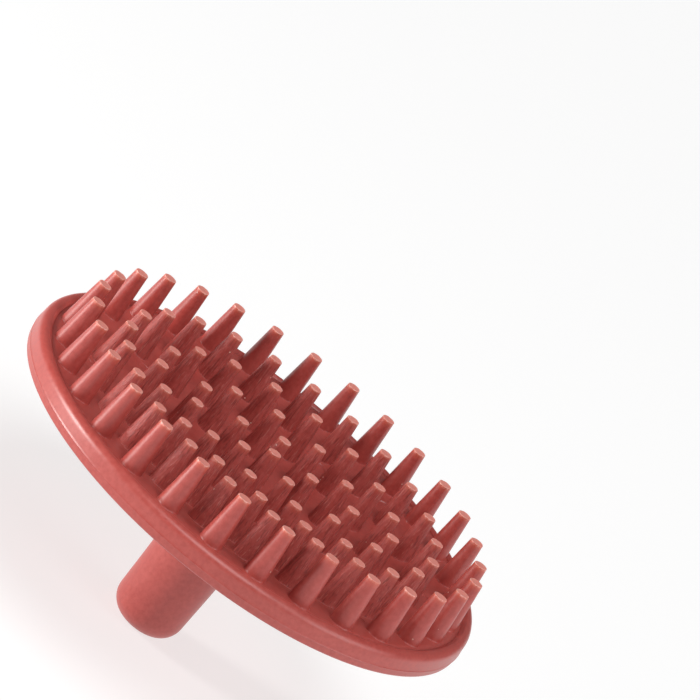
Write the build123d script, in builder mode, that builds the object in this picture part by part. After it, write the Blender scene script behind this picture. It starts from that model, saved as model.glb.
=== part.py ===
from build123d import *

import os
from math import asin, cos, degrees, radians, sin, sqrt, tan

# Round rubber curry comb with a peg handle, moulded in one piece and split here where its features meet.
# Millimetres. +Z runs along the axis towards the teeth. The origin is the centre of the peg's end face.
# Every ring of teeth has its first tooth on +X.

# Disc
disc_diameter = 127.0
plate_thickness = 3.2
flat_centre_radius = 10.0
saucer_radius = 152.5
saucer_end_radius = 51.0

# Rim bead
rim_width = 3.5
rim_bottom_z = 43.9
rim_parting_z = 46.0
rim_crest_z = 50.3
rim_foot_draft = 0.3
rim_wall_draft = 0.5
rim_crest_width = 2.1
rim_shoulder_fillet = 1.9
rim_foot_fillet = 0.8
rim_crest_fillet = 0.5

# Peg
peg_length = 39.6
peg_end_diameter = 18.3
peg_root_diameter = 20.2
peg_end_fillet = 5.5
peg_root_fillet = 2.0

# Teeth
tooth_height = 12.5
tooth_tip_diameter = 3.4
tooth_base_diameter = 5.8
tooth_root_depth = 1.6
tooth_lean_share = 0.16
tooth_ring_radii = [11.2, 23.0, 34.1, 44.9, 55.6]
teeth_per_ring = [6 * ring - 1 for ring in range(1, len(tooth_ring_radii) + 1)]

# Ejector marks: shallow round dents between the teeth, in three rings. Each ring's marks sit in gaps
# between the teeth of the ring named here, a whole number of gaps apart.
mark_diameter = 4.6
mark_depth = 0.2
mark_rings = [
    {"radius": 16.0, "beside_ring": 1, "gaps_apart": 1, "count": 5},
    {"radius": 39.4, "beside_ring": 3, "gaps_apart": 2, "count": 8},
    {"radius": 49.0, "beside_ring": 4, "gaps_apart": 3, "count": 8},
]

# Turned parts start at this angle, in a gap between the teeth, so that no tooth stands on their seam
turning_start_angle = 8.3

disc_radius = disc_diameter / 2
seam_radius = disc_radius - rim_width
plate_top_z = peg_length + plate_thickness
peg_flare_radius = peg_root_diameter / 2 + peg_root_fillet

turning_x = (cos(radians(turning_start_angle)), sin(radians(turning_start_angle)), 0)
turning_z = (sin(radians(turning_start_angle)), -cos(radians(turning_start_angle)), 0)
turning_plane = Plane(origin=(0, 0, 0), x_dir=turning_x, z_dir=turning_z)


def saucer_rise(radius):
    """Height of the saucer's arc at a radius, above the plate's flat centre."""
    reach = max(radius - flat_centre_radius, 0)
    return saucer_radius - sqrt(saucer_radius**2 - reach**2)


def saucer_slope(radius):
    """Slope of the saucer's arc at a radius, in degrees."""
    reach = max(radius - flat_centre_radius, 0)
    return degrees(asin(reach / saucer_radius))


def tooth_tip_height(radius, lean):
    """Height of a tooth's tip, for a tooth whose tip is at a radius and that leans inwards by an angle."""
    root_radius = radius + tooth_height * sin(radians(lean))
    return plate_top_z + saucer_rise(root_radius) + tooth_height * cos(radians(lean))


# Saucer-shaped plate: flat over the peg, then curving up towards the teeth, then levelling off at the rim
saucer_end_z = plate_top_z + saucer_rise(saucer_end_radius)
seam_run = seam_radius - saucer_end_radius
seam_top_z = saucer_end_z + seam_run * tan(radians(saucer_slope(saucer_end_radius) / 2))
seam_under_z = plate_top_z + saucer_rise(seam_radius) - plate_thickness
with BuildPart() as back_plate:
    with BuildSketch(turning_plane):
        with BuildLine():
            Polyline(
                (peg_flare_radius, peg_length),
                (0, peg_length),
                (0, plate_top_z),
                (flat_centre_radius, plate_top_z),
            )
            TangentArc((flat_centre_radius, plate_top_z), (saucer_end_radius, saucer_end_z), tangent=(1, 0))
            TangentArc((seam_radius, seam_top_z), (saucer_end_radius, saucer_end_z), tangent=(-1, 0))
            Line((seam_radius, seam_top_z), (seam_radius, seam_under_z))
            TangentArc((peg_flare_radius, peg_length), (seam_radius, seam_under_z), tangent=(1, 0))
        make_face()
    revolve(axis=Axis.Z)
    for marks in mark_rings:
        gap_angle = 360 / teeth_per_ring[marks["beside_ring"] - 1]
        tilt = saucer_slope(marks["radius"])
        mark_z = plate_top_z + saucer_rise(marks["radius"])
        first_gap_middle = gap_angle / 2
        for number in range(marks["count"]):
            angle = first_gap_middle - gap_angle * marks["gaps_apart"] * number
            with Locations((0, 0, mark_z)):
                with PolarLocations(marks["radius"], 1, start_angle=angle):
                    Cylinder(mark_diameter / 2, 2 * mark_depth, rotation=(0, -tilt, 0), mode=Mode.SUBTRACT)
back_plate.part.label = "back_plate"

# Rim bead: drafted both ways from the parting line, with a rounded shoulder and a crest above the plate
crest_outer_radius = disc_radius - rim_wall_draft
crest_inner_radius = crest_outer_radius - rim_crest_width
with BuildPart() as rim_bead:
    with BuildSketch(turning_plane):
        with BuildLine():
            Polyline(
                (seam_radius, rim_bottom_z),
                (disc_radius - rim_foot_draft, rim_bottom_z),
                (disc_radius, rim_parting_z),
                (crest_outer_radius, rim_crest_z),
                (crest_inner_radius, rim_crest_z),
                (seam_radius, seam_top_z),
                close=True,
            )
        bead_section = make_face()
        foot = bead_section.vertices().group_by(Axis.Y)[0]
        crest = bead_section.vertices().group_by(Axis.Y)[-1].sort_by(Axis.X)
        fillet(foot, rim_foot_fillet)
        fillet(crest[-1], rim_shoulder_fillet)
        fillet(crest[0], rim_crest_fillet)
    revolve(axis=Axis.Z)
rim_bead.part.label = "rim_bead"

# Peg: tapers slightly towards a domed end and flares where it meets the plate
with BuildPart() as handle_peg:
    with BuildSketch(turning_plane):
        with BuildLine():
            Polyline(
                (0, 0),
                (peg_end_diameter / 2, 0),
                (peg_root_diameter / 2, peg_length - peg_root_fillet),
            )
            RadiusArc(
                (peg_root_diameter / 2, peg_length - peg_root_fillet),
                (peg_flare_radius, peg_length),
                peg_root_fillet,
            )
            Polyline((peg_flare_radius, peg_length), (0, peg_length), (0, 0))
        peg_section = make_face()
        end_corner = peg_section.vertices().group_by(Axis.Y)[0].sort_by(Axis.X)[-1]
        fillet(end_corner, peg_end_fillet)
    revolve(axis=Axis.Z)
handle_peg.part.label = "handle_peg"

# Teeth: tapered pegs with flat tips, cut to sit on the plate. One in the centre, then five rings. The last
# ring stands where the plate has levelled off, so its teeth are longer by that much.
taper = (tooth_base_diameter - tooth_tip_diameter) / 2 / tooth_height
tooth_length = tooth_height + tooth_root_depth
tooth_root_radius = tooth_base_diameter / 2 + taper * tooth_root_depth
tooth_align = (Align.CENTER, Align.CENTER, Align.MAX)

with BuildPart() as centre_tooth:
    with Locations((0, 0, tooth_tip_height(0, 0))):
        Cone(tooth_root_radius, tooth_tip_diameter / 2, tooth_length, align=tooth_align)
    add(back_plate.part, mode=Mode.SUBTRACT)
centre_tooth.part.label = "centre_tooth"

sub_parts = [back_plate, rim_bead, handle_peg, centre_tooth]
for ring, (radius, count) in enumerate(zip(tooth_ring_radii, teeth_per_ring), start=1):
    lean = tooth_lean_share * saucer_slope(radius)
    with BuildPart() as tooth_ring:
        with Locations((0, 0, tooth_tip_height(radius, lean))):
            with PolarLocations(radius, count):
                Cone(
                    tooth_root_radius,
                    tooth_tip_diameter / 2,
                    tooth_length,
                    rotation=(0, -lean, 0),
                    align=tooth_align,
                )
        add(back_plate.part, mode=Mode.SUBTRACT)
        add(rim_bead.part, mode=Mode.SUBTRACT)
    tooth_ring.part.label = f"tooth_ring_{ring}"
    sub_parts.append(tooth_ring)

os.makedirs("parts", exist_ok=True)
for sub_part in sub_parts:
    export_step(sub_part.part, f"parts/{sub_part.part.label}.step")
    box = sub_part.part.bounding_box()
    count = len(sub_part.part.solids())
    print(f"{sub_part.part.label}: {count} solids, z {box.min.Z:.2f} to {box.max.Z:.2f}")
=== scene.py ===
"""Curry comb with a peg handle: the visual model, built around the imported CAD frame.

Everything is in metres in the frame's own axes: +Z along the comb's axis towards the teeth.
"""

import math
import random

import bmesh
import bpy
from mathutils import Matrix, Vector, geometry, noise


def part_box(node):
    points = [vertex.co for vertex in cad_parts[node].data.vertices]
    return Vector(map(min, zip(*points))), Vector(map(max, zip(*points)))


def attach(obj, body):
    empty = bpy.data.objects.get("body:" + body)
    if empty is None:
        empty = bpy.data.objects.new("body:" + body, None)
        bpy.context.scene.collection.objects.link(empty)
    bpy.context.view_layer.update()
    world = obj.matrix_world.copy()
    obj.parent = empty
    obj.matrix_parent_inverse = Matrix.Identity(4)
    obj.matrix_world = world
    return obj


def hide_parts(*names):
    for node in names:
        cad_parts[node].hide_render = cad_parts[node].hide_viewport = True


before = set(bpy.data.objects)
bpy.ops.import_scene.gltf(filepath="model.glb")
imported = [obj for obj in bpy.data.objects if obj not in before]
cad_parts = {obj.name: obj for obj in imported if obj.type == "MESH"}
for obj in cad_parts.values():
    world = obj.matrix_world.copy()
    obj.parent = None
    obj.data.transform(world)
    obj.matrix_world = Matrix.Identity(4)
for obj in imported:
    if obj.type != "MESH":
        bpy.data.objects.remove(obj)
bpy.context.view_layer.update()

MM = 0.001
TURN = 2 * math.pi

# Teeth, ring by ring from the centre: the radius of the tips' circle, and how many teeth stand on it
RING_RADII = [11.2 * MM, 23.0 * MM, 34.1 * MM, 44.9 * MM, 55.6 * MM]
TEETH_PER_RING = [5, 11, 17, 23, 29]
TIP_RADIUS = 1.7 * MM
BASE_RADIUS = 2.9 * MM
TOOTH_HEIGHT = 12.5 * MM
LEAN_SHARE = 0.16
TOOTH_SEGMENTS = 48

# A used tooth: how far its lean strays, its wear, its tip's ragged lip, its scraped sides, and how far down
# the painted glow of light through the rubber reaches below its tip
SWAY = math.radians(0.45)
LEAST_WEAR = 0.02 * MM
MOST_WEAR = 0.14 * MM
LIP_HEIGHT = 0.045 * MM
LIP_RAGGEDNESS = 0.05 * MM
OUTER_SCRAPE = 0.012 * MM
INNER_SCRAPE = 0.06 * MM
PAINTED_GLOW_LENGTH = 3.5 * MM

# The plate's top: flat in the middle, then an arc that curves up, then an arc that levels off at the rim
PLATE_THICKNESS = 3.2 * MM
FLAT_RADIUS = 10.0 * MM
SAUCER_RADIUS = 152.5 * MM
SAUCER_END_RADIUS = 51.0 * MM

# Rim bead
RIM_WIDTH = 3.5 * MM
RIM_PARTING_HEIGHT = 2.1 * MM
RIM_PARTING_RIDGE = 0.05 * MM
RIM_FOOT_INSET = 0.3 * MM
RIM_CREST_OUTER_INSET = 0.5 * MM
RIM_CREST_INNER_INSET = 2.6 * MM

# Peg
PEG_END_RADIUS = 9.15 * MM
PEG_ROOT_RADIUS = 10.1 * MM
PEG_END_ROUND = 5.5 * MM
PEG_ROOT_ROUND = 2.0 * MM
PEG_UNEVENNESS = 0.06 * MM
PEG_UNEVENNESS_SCALE = 90
PEG_SMOOTH_CENTRE = 6 * MM

# Ejector marks, each with a surround in which the plate's mesh is fine
MARK_RADIUS = 2.3 * MM
MARK_DEPTH = 0.18 * MM
MARK_EDGE_SOFTNESS = 0.05 * MM
MARK_LIP_HEIGHT = 0.05 * MM
MARK_LIP_WIDTH = 0.11 * MM
MARK_LIP_RADIUS = 1.07 * MARK_RADIUS
MARK_SURROUND = 0.9 * MM

# Rings of marks: radius of the ring, teeth in the ring of teeth beside it, gaps from mark to mark, marks
MARK_RINGS = [(16.0 * MM, 5, 1, 5), (39.4 * MM, 17, 2, 8), (49.0 * MM, 23, 3, 8)]

# Places read from the frame
DISC_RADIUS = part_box("rim_bead")[1].x
RIM_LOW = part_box("rim_bead")[0].z
RIM_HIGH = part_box("rim_bead")[1].z
PEG_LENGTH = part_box("handle_peg")[1].z
PLATE_TOP = PEG_LENGTH + PLATE_THICKNESS
SEAM_RADIUS = DISC_RADIUS - RIM_WIDTH
PEG_FLARE_RADIUS = PEG_ROOT_RADIUS + PEG_ROOT_ROUND

# Doubled points closer together than this become one
WELD = 0.002 * MM
TOOTH_WELD = 0.001 * MM

# Camera, set round the middle of the outer ring's tips
CAMERA_DISTANCE = 742.0 * MM
CAMERA_AZIMUTH = 36.1
CAMERA_ELEVATION = 18.9
CAMERA_AIM = Vector((-4.7, -5.5, 21.6)) * MM
CAMERA_ROLL = 39.13
CAMERA_LENS = 162.8


# ---------------------------------------------------------------- shape of the plate

def saucer_rise(radius):
    """How far the saucer's arc has climbed at a radius."""
    reach = max(radius - FLAT_RADIUS, 0)
    return SAUCER_RADIUS - math.sqrt(SAUCER_RADIUS**2 - reach**2)


def saucer_slope(radius):
    """Slope of the saucer's arc at a radius, as an angle."""
    return math.asin(max(radius - FLAT_RADIUS, 0) / SAUCER_RADIUS)


def plate_top(radius):
    """Height of the plate's top at a radius."""
    if radius <= SAUCER_END_RADIUS:
        return PLATE_TOP + saucer_rise(radius)
    slope = saucer_slope(SAUCER_END_RADIUS)
    run = SEAM_RADIUS - SAUCER_END_RADIUS
    level_z = PLATE_TOP + saucer_rise(SAUCER_END_RADIUS) + run * math.tan(slope / 2)
    bend = run / math.sin(slope)
    reach = max(SEAM_RADIUS - radius, 0)
    return level_z - bend + math.sqrt(bend**2 - reach**2)


# ---------------------------------------------------------------- mesh helpers

def add_object(name, verts, faces, material, smooth=True):
    """A mesh object with one material, linked to the scene."""
    mesh = bpy.data.meshes.new(name)
    mesh.from_pydata([tuple(v) for v in verts], [], faces)
    mesh.validate()
    mesh.update()
    obj = bpy.data.objects.new(name, mesh)
    bpy.context.collection.objects.link(obj)
    mesh.materials.append(material)
    for polygon in mesh.polygons:
        polygon.use_smooth = smooth
    return obj


def weld(obj, distance):
    """Merges doubled points, and turns all the faces outwards."""
    work = bmesh.new()
    work.from_mesh(obj.data)
    bmesh.ops.remove_doubles(work, verts=work.verts, dist=distance)
    bmesh.ops.recalc_face_normals(work, faces=work.faces)
    work.to_mesh(obj.data)
    work.free()


def arc_points(centre, radius, start, end, steps):
    """Points on an arc in the (radius, z) half-plane, angles in degrees."""
    points = []
    for i in range(steps + 1):
        a = math.radians(start + (end - start) * i / steps)
        points.append((centre[0] + radius * math.cos(a), centre[1] + radius * math.sin(a)))
    return points


def rounded(points, radii, steps=8):
    """An outline with its corners rounded: radii[i] rounds points[i], and the two ends are kept."""
    out = [points[0]]
    for i in range(1, len(points) - 1):
        here, radius = Vector(points[i]), radii[i]
        before = Vector(points[i - 1]) - here
        after = Vector(points[i + 1]) - here
        if radius <= 0:
            out.append(tuple(here))
            continue
        half = before.angle(after) / 2
        cut = radius / math.tan(half)
        inward = (before.normalized() + after.normalized()).normalized()
        centre = here + inward * radius / math.sin(half)
        # from the fillet's centre to its two ends, and then every step of the arc between them
        a = here + before.normalized() * cut - centre
        b = here + after.normalized() * cut - centre
        angle = a.angle(b)
        for k in range(steps + 1):
            t = k / steps
            p = (math.sin((1 - t) * angle) * a + math.sin(t * angle) * b) / math.sin(angle)
            out.append(tuple(centre + p))
    out.append(points[-1])
    return out


def subdivide(points, longest):
    """Adds points along an outline so that no step is longer than a length."""
    out = [points[0]]
    for a, b in zip(points, points[1:]):
        steps = max(1, math.ceil((Vector(b) - Vector(a)).length / longest))
        for k in range(1, steps + 1):
            t = k / steps
            out.append((a[0] + (b[0] - a[0]) * t, a[1] + (b[1] - a[1]) * t))
    return out


def lathe(outline, segments, closed=False):
    """Vertices and faces of an outline in (radius, z), turned about the axis.

    A point of the outline that lies on the axis becomes one shared vertex.
    """
    verts, rows = [], []
    for radius, z in outline:
        if radius < 1e-7:
            rows.append([len(verts)] * segments)
            verts.append((0, 0, z))
            continue
        rows.append(list(range(len(verts), len(verts) + segments)))
        for k in range(segments):
            a = TURN * k / segments
            verts.append((radius * math.cos(a), radius * math.sin(a), z))
    faces = []
    pairs = list(zip(rows, rows[1:])) + ([(rows[-1], rows[0])] if closed else [])
    for low, high in pairs:
        for k in range(segments):
            n = (k + 1) % segments
            corners = [low[k], low[n], high[n], high[k]]
            corners = [c for i, c in enumerate(corners) if c != corners[i - 1]]
            if len(corners) > 2:
                faces.append(corners)
    return verts, faces


# ---------------------------------------------------------------- materials

def new_material(name):
    """A material, its node tree and its shader."""
    material = bpy.data.materials.new(name)
    material.use_nodes = True
    tree = material.node_tree
    return material, tree, tree.nodes["Principled BSDF"]


def node(tree, kind, inputs=None, **settings):
    """A node with its settings, and its inputs set or linked."""
    made = tree.nodes.new(kind)
    for key, value in settings.items():
        setattr(made, key, value)
    for key, value in (inputs or {}).items():
        if isinstance(value, bpy.types.NodeSocket):
            tree.links.new(value, made.inputs[key])
        else:
            made.inputs[key].default_value = value
    return made


def mix_colour(tree, factor, a, b):
    """Colour a, turning into colour b as the factor goes from 0 to 1."""
    made = node(tree, "ShaderNodeMix", data_type="RGBA", blend_type="MIX")
    for socket, value in ((made.inputs[0], factor), (made.inputs[6], a), (made.inputs[7], b)):
        if isinstance(value, bpy.types.NodeSocket):
            tree.links.new(value, socket)
        else:
            socket.default_value = value
    return made.outputs[2]


def noise_value(tree, vector, scale, detail, roughness=0.55):
    """A noise between 0 and 1, mostly near the middle."""
    made = node(tree, "ShaderNodeTexNoise", {"Vector": vector, "Scale": scale, "Detail": detail,
                                             "Roughness": roughness})
    return made.outputs["Fac"]


def remap(tree, value, low, high, to_low, to_high):
    """A value's range, moved to another range and clamped to it."""
    made = node(tree, "ShaderNodeMapRange", {"Value": value, "From Min": low, "From Max": high,
                                             "To Min": to_low, "To Max": to_high})
    return made.outputs["Result"]


# Linear colours: the moulding's two tones, a painted glow of light through the rubber below a tooth's tip,
# painted light on the tip's top, its worn lip, and the finer marks
BODY_COLOUR = (0.47, 0.078, 0.064, 1)
DEEP_COLOUR = (0.40, 0.054, 0.044, 1)
PAINTED_GLOW_COLOUR = (0.60, 0.115, 0.070, 1)
PAINTED_TIP_LIGHT_COLOUR = (0.84, 0.28, 0.23, 1)
LIP_COLOUR = (0.90, 0.43, 0.36, 1)
BLOOM_COLOUR = (0.62, 0.22, 0.19, 1)
SPECK_COLOUR = (0.88, 0.60, 0.52, 1)
SCORE_COLOUR = (0.20, 0.030, 0.026, 1)


def rubber(name, gloss, streaks=0.0, grain=1.0, tip=False):
    """Satin moulded rubber: mottled colour, a pale bloom and fine grain.

    Streaks are scrape marks along the axis. A tip gets a painted glow of light below its end, painted light
    on its top, a worn lip, and pale specks.
    """
    material, tree, shader = new_material(name)
    place = node(tree, "ShaderNodeTexCoord").outputs["Object"]
    along = node(tree, "ShaderNodeMapping", {"Vector": place, "Scale": (1, 1, 0.04)}).outputs["Vector"]

    # Colour
    mottle = remap(tree, noise_value(tree, place, 900, 4), 0.30, 0.65, 0, 1)
    colour = mix_colour(tree, mottle, DEEP_COLOUR, BODY_COLOUR)
    broad = remap(tree, noise_value(tree, place, 45, 3), 0.35, 0.75, 0, 0.10)
    colour = mix_colour(tree, broad, colour, BLOOM_COLOUR)
    if streaks:
        lines = remap(tree, noise_value(tree, along, 3400, 3, 0.65), 0.57, 0.68, 0, 0.7 * streaks)
        colour = mix_colour(tree, lines, colour, BLOOM_COLOUR)
        scores = remap(tree, noise_value(tree, along, 2700, 2), 0.34, 0.46, 0.65 * streaks, 0)
        colour = mix_colour(tree, scores, colour, SCORE_COLOUR)
    if tip:
        near_tip = node(tree, "ShaderNodeAttribute", attribute_name="tip").outputs["Fac"]
        # painted glow: light shining through the rubber, painted as a paler orange band below each tip
        painted_glow = remap(tree, near_tip, 0.05, 0.55, 0, 0.8)
        colour = mix_colour(tree, painted_glow, colour, PAINTED_GLOW_COLOUR)
        # painted highlight: the flat top of each tip made paler, as if lit from above
        flat = remap(tree, near_tip, 0.85, 0.97, 0, 1)
        colour = mix_colour(tree, flat, colour, PAINTED_TIP_LIGHT_COLOUR)
        on_lip = node(tree, "ShaderNodeAttribute", attribute_name="lip").outputs["Fac"]
        worn = remap(tree, noise_value(tree, place, 1500, 2), 0.42, 0.60, 0.15, 1.0)
        lip = node(tree, "ShaderNodeMath", {0: on_lip, 1: worn}, operation="MULTIPLY").outputs[0]
        colour = mix_colour(tree, lip, colour, LIP_COLOUR)
    cells = node(tree, "ShaderNodeTexVoronoi", {"Vector": place, "Scale": 420.0})
    small = remap(tree, cells.outputs["Distance"], 0.065, 0.095, 1, 0)
    chosen = node(tree, "ShaderNodeSeparateColor", {"Color": cells.outputs["Color"]}).outputs["Red"]
    rare = remap(tree, chosen, 1 - 0.16 * grain, 1.02 - 0.16 * grain, 0, 1)
    speck = node(tree, "ShaderNodeMath", {0: small, 1: rare}, operation="MULTIPLY").outputs[0]
    if tip:
        colour = mix_colour(tree, speck, colour, SPECK_COLOUR)
    tree.links.new(colour, shader.inputs["Base Color"])

    # Gloss
    rough = remap(tree, noise_value(tree, place, 900, 4), 0.3, 0.7, gloss, gloss + 0.10)
    tree.links.new(rough, shader.inputs["Roughness"])
    shader.inputs["Specular IOR Level"].default_value = 0.65
    shader.inputs["Subsurface Weight"].default_value = 0.10
    shader.inputs["Subsurface Radius"].default_value = (1.0, 0.22, 0.14)
    shader.inputs["Subsurface Scale"].default_value = 1.2 * MM

    # Relief
    fine = noise_value(tree, place, 3000, 3)
    bump = node(tree, "ShaderNodeBump", {"Height": fine, "Strength": 0.10 * grain, "Distance": 0.1 * MM})
    wavy = noise_value(tree, place, 260, 2)
    bump = node(tree, "ShaderNodeBump", {"Height": wavy, "Strength": 0.05 * grain, "Distance": 0.5 * MM,
                                         "Normal": bump.outputs["Normal"]})
    if streaks:
        lines = noise_value(tree, along, 3400, 3, 0.65)
        bump = node(tree, "ShaderNodeBump", {"Height": lines, "Strength": streaks, "Distance": 0.18 * MM,
                                             "Normal": bump.outputs["Normal"]})
    if tip:
        bump = node(tree, "ShaderNodeBump", {"Height": speck, "Strength": 0.5, "Distance": 0.15 * MM,
                                             "Normal": bump.outputs["Normal"]})
    tree.links.new(bump.outputs["Normal"], shader.inputs["Normal"])
    return material


# ---------------------------------------------------------------- the comb

def mark_places():
    """Centres of the ejector marks, each midway between two teeth of its ring."""
    places = []
    for radius, teeth, gaps, count in MARK_RINGS:
        for number in range(count):
            angle = TURN / teeth * (0.5 - gaps * number)
            places.append(Vector((radius * math.cos(angle), radius * math.sin(angle))))
    return places


def mark_dent(distance):
    """Depth of an ejector mark at a distance from its centre: a shallow dish with a thin raised edge."""
    inside = 1 / (1 + math.exp((distance - MARK_RADIUS) / MARK_EDGE_SOFTNESS))
    lip = math.exp(-(((distance - MARK_LIP_RADIUS) / MARK_LIP_WIDTH) ** 2))
    return MARK_DEPTH * inside - MARK_LIP_HEIGHT * lip


def plate_points(marks, near, segments):
    """Points of the plate's top seen from above: even rings, and closer ones round each mark."""
    points = [Vector((0, 0))]
    rows = 44
    spacing = 1.35 * MM
    for row in range(1, rows + 1):
        radius = SEAM_RADIUS * row / rows
        count = segments if row == rows else max(12, round(TURN * radius / spacing))
        for k in range(count):
            p = Vector((math.cos(TURN * k / count), math.sin(TURN * k / count))) * radius
            if row == rows or all((p - m).length > near for m in marks):
                points.append(p)
    mark_rings = [0.0, 0.5, 0.8, 0.92, 0.96, 1.0, 1.03, 1.07, 1.12, 1.2, 1.35]
    for m in marks:
        for share in mark_rings:
            count = 1 if share == 0 else 44
            for k in range(count):
                a = TURN * k / count
                points.append(m + Vector((math.cos(a), math.sin(a))) * share * MARK_RADIUS)
    return points


def underside_outline():
    """The seam's wall, an arc in to the peg's flare, and the flat over the peg."""
    seam_low = PLATE_TOP + saucer_rise(SEAM_RADIUS) - PLATE_THICKNESS
    run, climb = SEAM_RADIUS - PEG_FLARE_RADIUS, seam_low - PEG_LENGTH
    under_radius = (run**2 + climb**2) / (2 * climb)
    outline = [(SEAM_RADIUS, plate_top(SEAM_RADIUS)), (SEAM_RADIUS, seam_low)]
    steps = 40
    for i in range(1, steps + 1):
        reach = run * (1 - i / steps)
        drop = under_radius - math.sqrt(under_radius**2 - reach**2)
        outline.append((PEG_FLARE_RADIUS + reach, PEG_LENGTH + drop))
    outline.append((0, PEG_LENGTH))
    return outline


def add_plate(material):
    """The saucer: a triangulated top with its ejector marks, and a turned underside."""
    segments = 300
    marks = mark_places()
    near = MARK_RADIUS + MARK_SURROUND
    points = plate_points(marks, near, segments)
    flat, _, triangles, _, _, _ = geometry.delaunay_2d_cdt(points, [], [], 0, 1e-7)
    verts = []
    for p in flat:
        dent = sum(mark_dent((p - m).length) for m in marks if (p - m).length < near)
        verts.append((p.x, p.y, plate_top(p.length) - dent))
    low_verts, low_faces = lathe(underside_outline(), segments)
    start = len(verts)
    faces = [list(t) for t in triangles] + [[i + start for i in f][::-1] for f in low_faces]
    plate = add_object("plate", verts + low_verts, faces, material)
    weld(plate, WELD)
    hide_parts("back_plate")
    return plate


def add_rim(material):
    """Rim bead: drafted wall with a parting line, a broad rounded shoulder, and a crest above the plate."""
    parting = RIM_LOW + RIM_PARTING_HEIGHT
    ridge = RIM_PARTING_RIDGE
    seam_z = plate_top(SEAM_RADIUS)
    # radius, height, and the corner's rounding in mm
    corners = [
        (SEAM_RADIUS, seam_z, 0),
        (SEAM_RADIUS, RIM_LOW, 0.7),
        (DISC_RADIUS - RIM_FOOT_INSET, RIM_LOW, 0.8),
        (DISC_RADIUS - ridge, parting - 2 * ridge, 0),
        (DISC_RADIUS, parting, 0.05),
        (DISC_RADIUS - 1.5 * ridge, parting + 2 * ridge, 0),
        (DISC_RADIUS - RIM_CREST_OUTER_INSET, RIM_HIGH, 1.9),
        (DISC_RADIUS - RIM_CREST_INNER_INSET, RIM_HIGH, 0.5),
        (SEAM_RADIUS, seam_z, 0),
    ]
    outline = rounded([c[:2] for c in corners], [c[2] * MM for c in corners])
    outline = subdivide(outline, 0.5 * MM)
    verts, faces = lathe(outline[:-1], 360, closed=True)
    rim = add_object("rim", verts, faces, material)
    weld(rim, WELD)
    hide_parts("rim_bead")
    return rim


def add_peg(material):
    """Peg: domed end, slight taper, a flare into the plate, and a faintly uneven surface."""
    root_z = PEG_LENGTH - PEG_ROOT_ROUND
    side = [(0, 0), (PEG_END_RADIUS, 0), (PEG_ROOT_RADIUS, root_z)]
    outline = rounded(side, [0, PEG_END_ROUND, 0], 14)
    flare_centre = (PEG_FLARE_RADIUS, root_z)
    outline += arc_points(flare_centre, PEG_ROOT_ROUND, 180, 90, 8)[1:]
    outline.append((0, PEG_LENGTH))
    outline = subdivide(outline, 1.0 * MM)
    verts, faces = lathe(outline, 144)
    shaped = []
    for v in verts:
        v = Vector(v)
        out = Vector((v.x, v.y, 0))
        off_axis = min(1, out.length / PEG_SMOOTH_CENTRE)
        hollow = PEG_UNEVENNESS * (noise.noise(v * PEG_UNEVENNESS_SCALE) + 1) * off_axis
        if out.length > 1e-6 and v.z < root_z:
            v = v - out.normalized() * hollow
        shaped.append(v)
    peg = add_object("peg", shaped, faces, material)
    weld(peg, WELD)
    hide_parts("handle_peg")
    return peg


def ripple(counts, rng):
    """A random wave round a tooth, with these numbers of crests, as a function of the angle."""
    waves = [(k, rng.uniform(0, TURN), rng.uniform(0.3, 1.0)) for k in counts]

    def height(a):
        return sum(w * math.sin(k * a + p) for k, p, w in waves) / len(waves)

    return height


def tooth_frame(tip_circle, angle, lean, rng):
    """A tooth's tip, and its directions: down its length, outwards across it, and sideways across it."""
    root_radius = tip_circle + TOOTH_HEIGHT * math.sin(lean)
    top = PLATE_TOP + saucer_rise(root_radius) + TOOTH_HEIGHT * math.cos(lean)
    outward = Vector((math.cos(angle), math.sin(angle), 0))
    sideways = Vector((-outward.y, outward.x, 0))
    sway = Vector((rng.gauss(0, 1), rng.gauss(0, 1))) * SWAY
    down = (-Vector((0, 0, 1)) + outward * (math.sin(lean) + sway.x) + sideways * sway.y).normalized()
    # the wear keeps the ragged lip below the CAD tooth's tip
    tip = outward * tip_circle + Vector((0, 0, top - rng.uniform(LEAST_WEAR, MOST_WEAR)))
    across = (outward - down * outward.dot(down)).normalized()
    return tip, down, across, down.cross(across)


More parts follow.
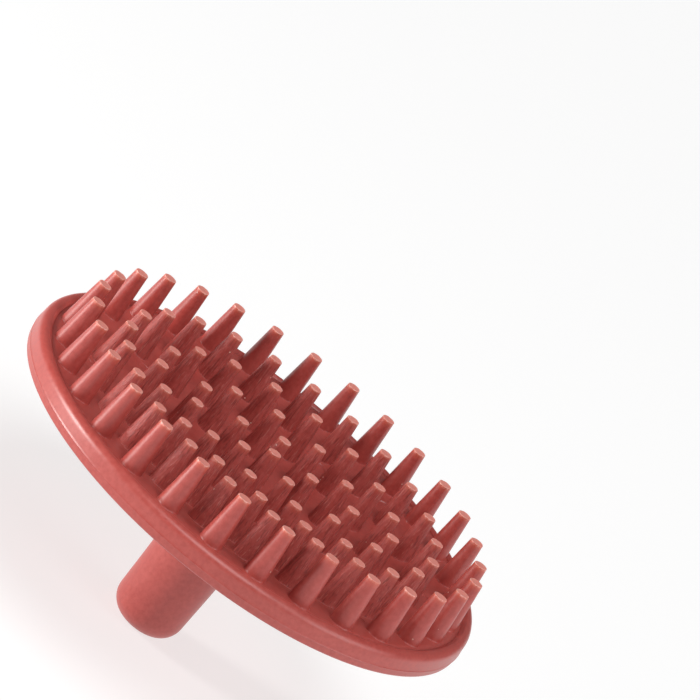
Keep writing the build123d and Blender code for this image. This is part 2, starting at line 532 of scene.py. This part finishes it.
def tooth_mesh(tip_circle, angle, lean, scrape, rng):
    """One tooth, with a sunk tip, a ragged lip, scraped sides and a small flare at the root.

    Gives its vertices and faces, and for each vertex how near the tip it is and how far on the tip's lip.
    """
    tip, down, across, third = tooth_frame(tip_circle, angle, lean, rng)
    taper = (BASE_RADIUS - TIP_RADIUS) / TOOTH_HEIGHT
    ragged = ripple((2, 3, 5, 7, 11), rng)
    drawn = ripple((3, 5, 8, 11, 14), rng)
    turns = [TURN * k / TOOTH_SEGMENTS for k in range(TOOTH_SEGMENTS)]
    rays = [across * math.cos(a) + third * math.sin(a) for a in turns]
    scraped = [scrape * (drawn(a) - 0.5) for a in turns]
    verts, nearness, lip = [], [], []

    # rows over the tip: share of the tooth's radius, depth below the tip plane in mm, raggedness
    tip_rows = [
        (0.00, 0.09, 0.0), (0.35, 0.09, 0.0), (0.66, 0.08, 0.1), (0.82, 0.05, 0.3), (0.90, 0.015, 0.6),
        (0.95, 0.00, 1.0), (0.99, 0.03, 1.0), (1.008, 0.10, 0.9), (1.005, 0.22, 0.5), (1.0, 0.45, 0.2),
    ]
    for share, depth, edge in tip_rows:
        for a, ray, scar in zip(turns, rays, scraped):
            radius = (TIP_RADIUS + taper * depth * MM + scar) * share + LIP_RAGGEDNESS * edge * ragged(a)
            sunk = depth * MM + LIP_HEIGHT * edge * (1 - ragged(a))
            verts.append(tip + down * sunk + ray * radius)
            nearness.append(1.0 if share < 0.99 else 0.95 - depth)
            lip.append(edge)

    # how far down each ray the side meets the plate, found in four steps
    roots = []
    for ray in rays:
        depth = TOOTH_HEIGHT
        for _ in range(4):
            p = tip + down * depth + ray * (TIP_RADIUS + taper * depth)
            depth += p.z - plate_top(math.hypot(p.x, p.y))
        roots.append(depth)

    # rows at the root: height above the plate and flare, both in mm
    flare_rows = [(0.40, 0.0), (0.20, 0.004), (0.10, 0.02), (0.03, 0.06), (-0.02, 0.10), (-0.30, 0.10)]
    side_rows = 13
    first = 0.7 * MM
    for row in range(side_rows):
        for ray, scar, root in zip(rays, scraped, roots):
            last = root - flare_rows[0][0] * MM
            depth = first + (last - first) * row / side_rows
            verts.append(tip + down * depth + ray * (TIP_RADIUS + taper * depth + scar))
            # how near the tip, which sets the painted glow below it
            nearness.append(max(0.0, 0.55 - depth / PAINTED_GLOW_LENGTH))
            lip.append(0.0)
    for above, flare in flare_rows:
        for ray, scar, root in zip(rays, scraped, roots):
            depth = root - above * MM
            p = tip + down * depth + ray * (TIP_RADIUS + taper * depth + scar + flare * MM)
            ground = plate_top(math.hypot(p.x, p.y))
            p.z = max(p.z, ground) if above > 0 else ground + above * MM
            verts.append(p)
            nearness.append(0.0)
            lip.append(0.0)

    faces = []
    last_row = len(verts) - TOOTH_SEGMENTS
    for start in range(0, last_row, TOOTH_SEGMENTS):
        below = start + TOOTH_SEGMENTS
        for k in range(TOOTH_SEGMENTS):
            n = (k + 1) % TOOTH_SEGMENTS
            faces.append([start + k, start + n, below + n, below + k])
    faces.append([last_row + k for k in range(TOOTH_SEGMENTS)])
    return verts, faces, nearness, lip


def add_teeth(name, cad_node, radius, count, scrape, material, seed):
    """All the teeth of one ring as one piece, each with its own share of the ring's random draws."""
    rng = random.Random(seed)
    lean = LEAN_SHARE * saucer_slope(radius)
    verts, faces, nearness, lip = [], [], [], []
    for number in range(count):
        v, f, near, edge = tooth_mesh(radius, TURN * number / count, lean, scrape, rng)
        start = len(verts)
        verts += v
        faces += [[i + start for i in face] for face in f]
        nearness += near
        lip += edge
    teeth = add_object(name, verts, faces, material)
    for label, values in (("tip", nearness), ("lip", lip)):
        attribute = teeth.data.attributes.new(label, "FLOAT", "POINT")
        attribute.data.foreach_set("value", values)
    weld(teeth, TOOTH_WELD)
    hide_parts(cad_node)
    return teeth


# ---------------------------------------------------------------- stage

def polar(distance, azimuth, elevation):
    """A place at a distance from the origin, angles in degrees."""
    a, e = math.radians(azimuth), math.radians(elevation)
    return distance * Vector((math.cos(a) * math.cos(e), math.sin(a) * math.cos(e), math.sin(e)))


def add_camera():
    """A long lens, rolled so that the level comb shows at a tilt."""
    middle = Vector((0, 0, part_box("tooth_ring_5")[1].z))
    data = bpy.data.cameras.new("camera")
    data.lens = CAMERA_LENS
    camera = bpy.data.objects.new("camera", data)
    camera.location = middle + polar(CAMERA_DISTANCE, CAMERA_AZIMUTH, CAMERA_ELEVATION)
    look = (middle + CAMERA_AIM - camera.location).to_track_quat("-Z", "Y").to_matrix()
    roll = Matrix.Rotation(math.radians(CAMERA_ROLL), 3, "Z")
    camera.rotation_euler = (look @ roll).to_euler()
    bpy.context.collection.objects.link(camera)
    bpy.context.scene.camera = camera


def add_light(kind, name, location, aim, power):
    """A light of one kind, at a place and turned towards another."""
    data = bpy.data.lights.new(name, kind)
    data.energy = power
    light = bpy.data.objects.new(name, data)
    light.location = location
    light.rotation_euler = (aim - location).to_track_quat("-Z", "Y").to_euler()
    bpy.context.collection.objects.link(light)
    return data


def add_lights():
    """A tall soft box standing on the floor, a wide soft light from above, and a lower one as fill."""
    key_place = polar(0.8, -38, 0) + Vector((0, 0, 0.16))
    key = add_light("AREA", "key", key_place, Vector((0, 0, 0.05)), 6.0)
    key.shape = "RECTANGLE"
    key.size = 0.18
    key.size_y = 0.31
    key.color = (1.0, 0.985, 0.96)
    top = add_light("SUN", "top", polar(1, 50, 64), Vector((0, 0, 0)), 1.5)
    top.angle = math.radians(36)
    fill = add_light("SUN", "fill", polar(1, 112, 27), Vector((0, 0, 0)), 1.05)
    fill.angle = math.radians(40)


def add_floor():
    """Pale floor that glows a little, so that it stays near white behind the comb."""
    material, tree, shader = new_material("floor_paper")
    shader.inputs["Base Color"].default_value = (0.38, 0.38, 0.38, 1)
    shader.inputs["Roughness"].default_value = 0.9
    shader.inputs["Specular IOR Level"].default_value = 0.0
    shader.inputs["Emission Color"].default_value = (1, 1, 1, 1)
    shader.inputs["Emission Strength"].default_value = 0.68
    half = 8.0
    corners = [(-half, -half, 0), (half, -half, 0), (half, half, 0), (-half, half, 0)]
    floor = add_object("floor", corners, [[0, 1, 2, 3]], material, smooth=False)


def add_world():
    """A little even light from all round."""
    world = bpy.data.worlds.new("studio")
    world.use_nodes = True
    background = world.node_tree.nodes["Background"]
    background.inputs["Color"].default_value = (1.0, 1.0, 1.0, 1)
    background.inputs["Strength"].default_value = 0.12
    bpy.context.scene.world = world


# ---------------------------------------------------------------- build

smooth_rubber = rubber("rubber_body", 0.33, grain=0.6)
outer_rubber = rubber("rubber_outer_teeth", 0.32, streaks=0.10, grain=0.5, tip=True)
inner_rubber = rubber("rubber_inner_teeth", 0.38, streaks=1.0, grain=1.2, tip=True)

pieces = [add_plate(smooth_rubber), add_rim(smooth_rubber), add_peg(smooth_rubber)]
pieces.append(add_teeth("middle_tooth", "centre_tooth", 0.0, 1, INNER_SCRAPE, inner_rubber, 10))
for ring, (radius, count) in enumerate(zip(RING_RADII, TEETH_PER_RING), start=1):
    outermost = ring == len(RING_RADII)
    finish = outer_rubber if outermost else inner_rubber
    scrape = OUTER_SCRAPE if outermost else INNER_SCRAPE
    teeth = add_teeth(f"teeth_{ring}", f"tooth_ring_{ring}", radius, count, scrape, finish, 10 + ring)
    pieces.append(teeth)
for piece in pieces:
    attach(piece, "root")

add_camera()
add_floor()
add_world()
add_lights()
bpy.context.scene.view_settings.view_transform = "Standard"
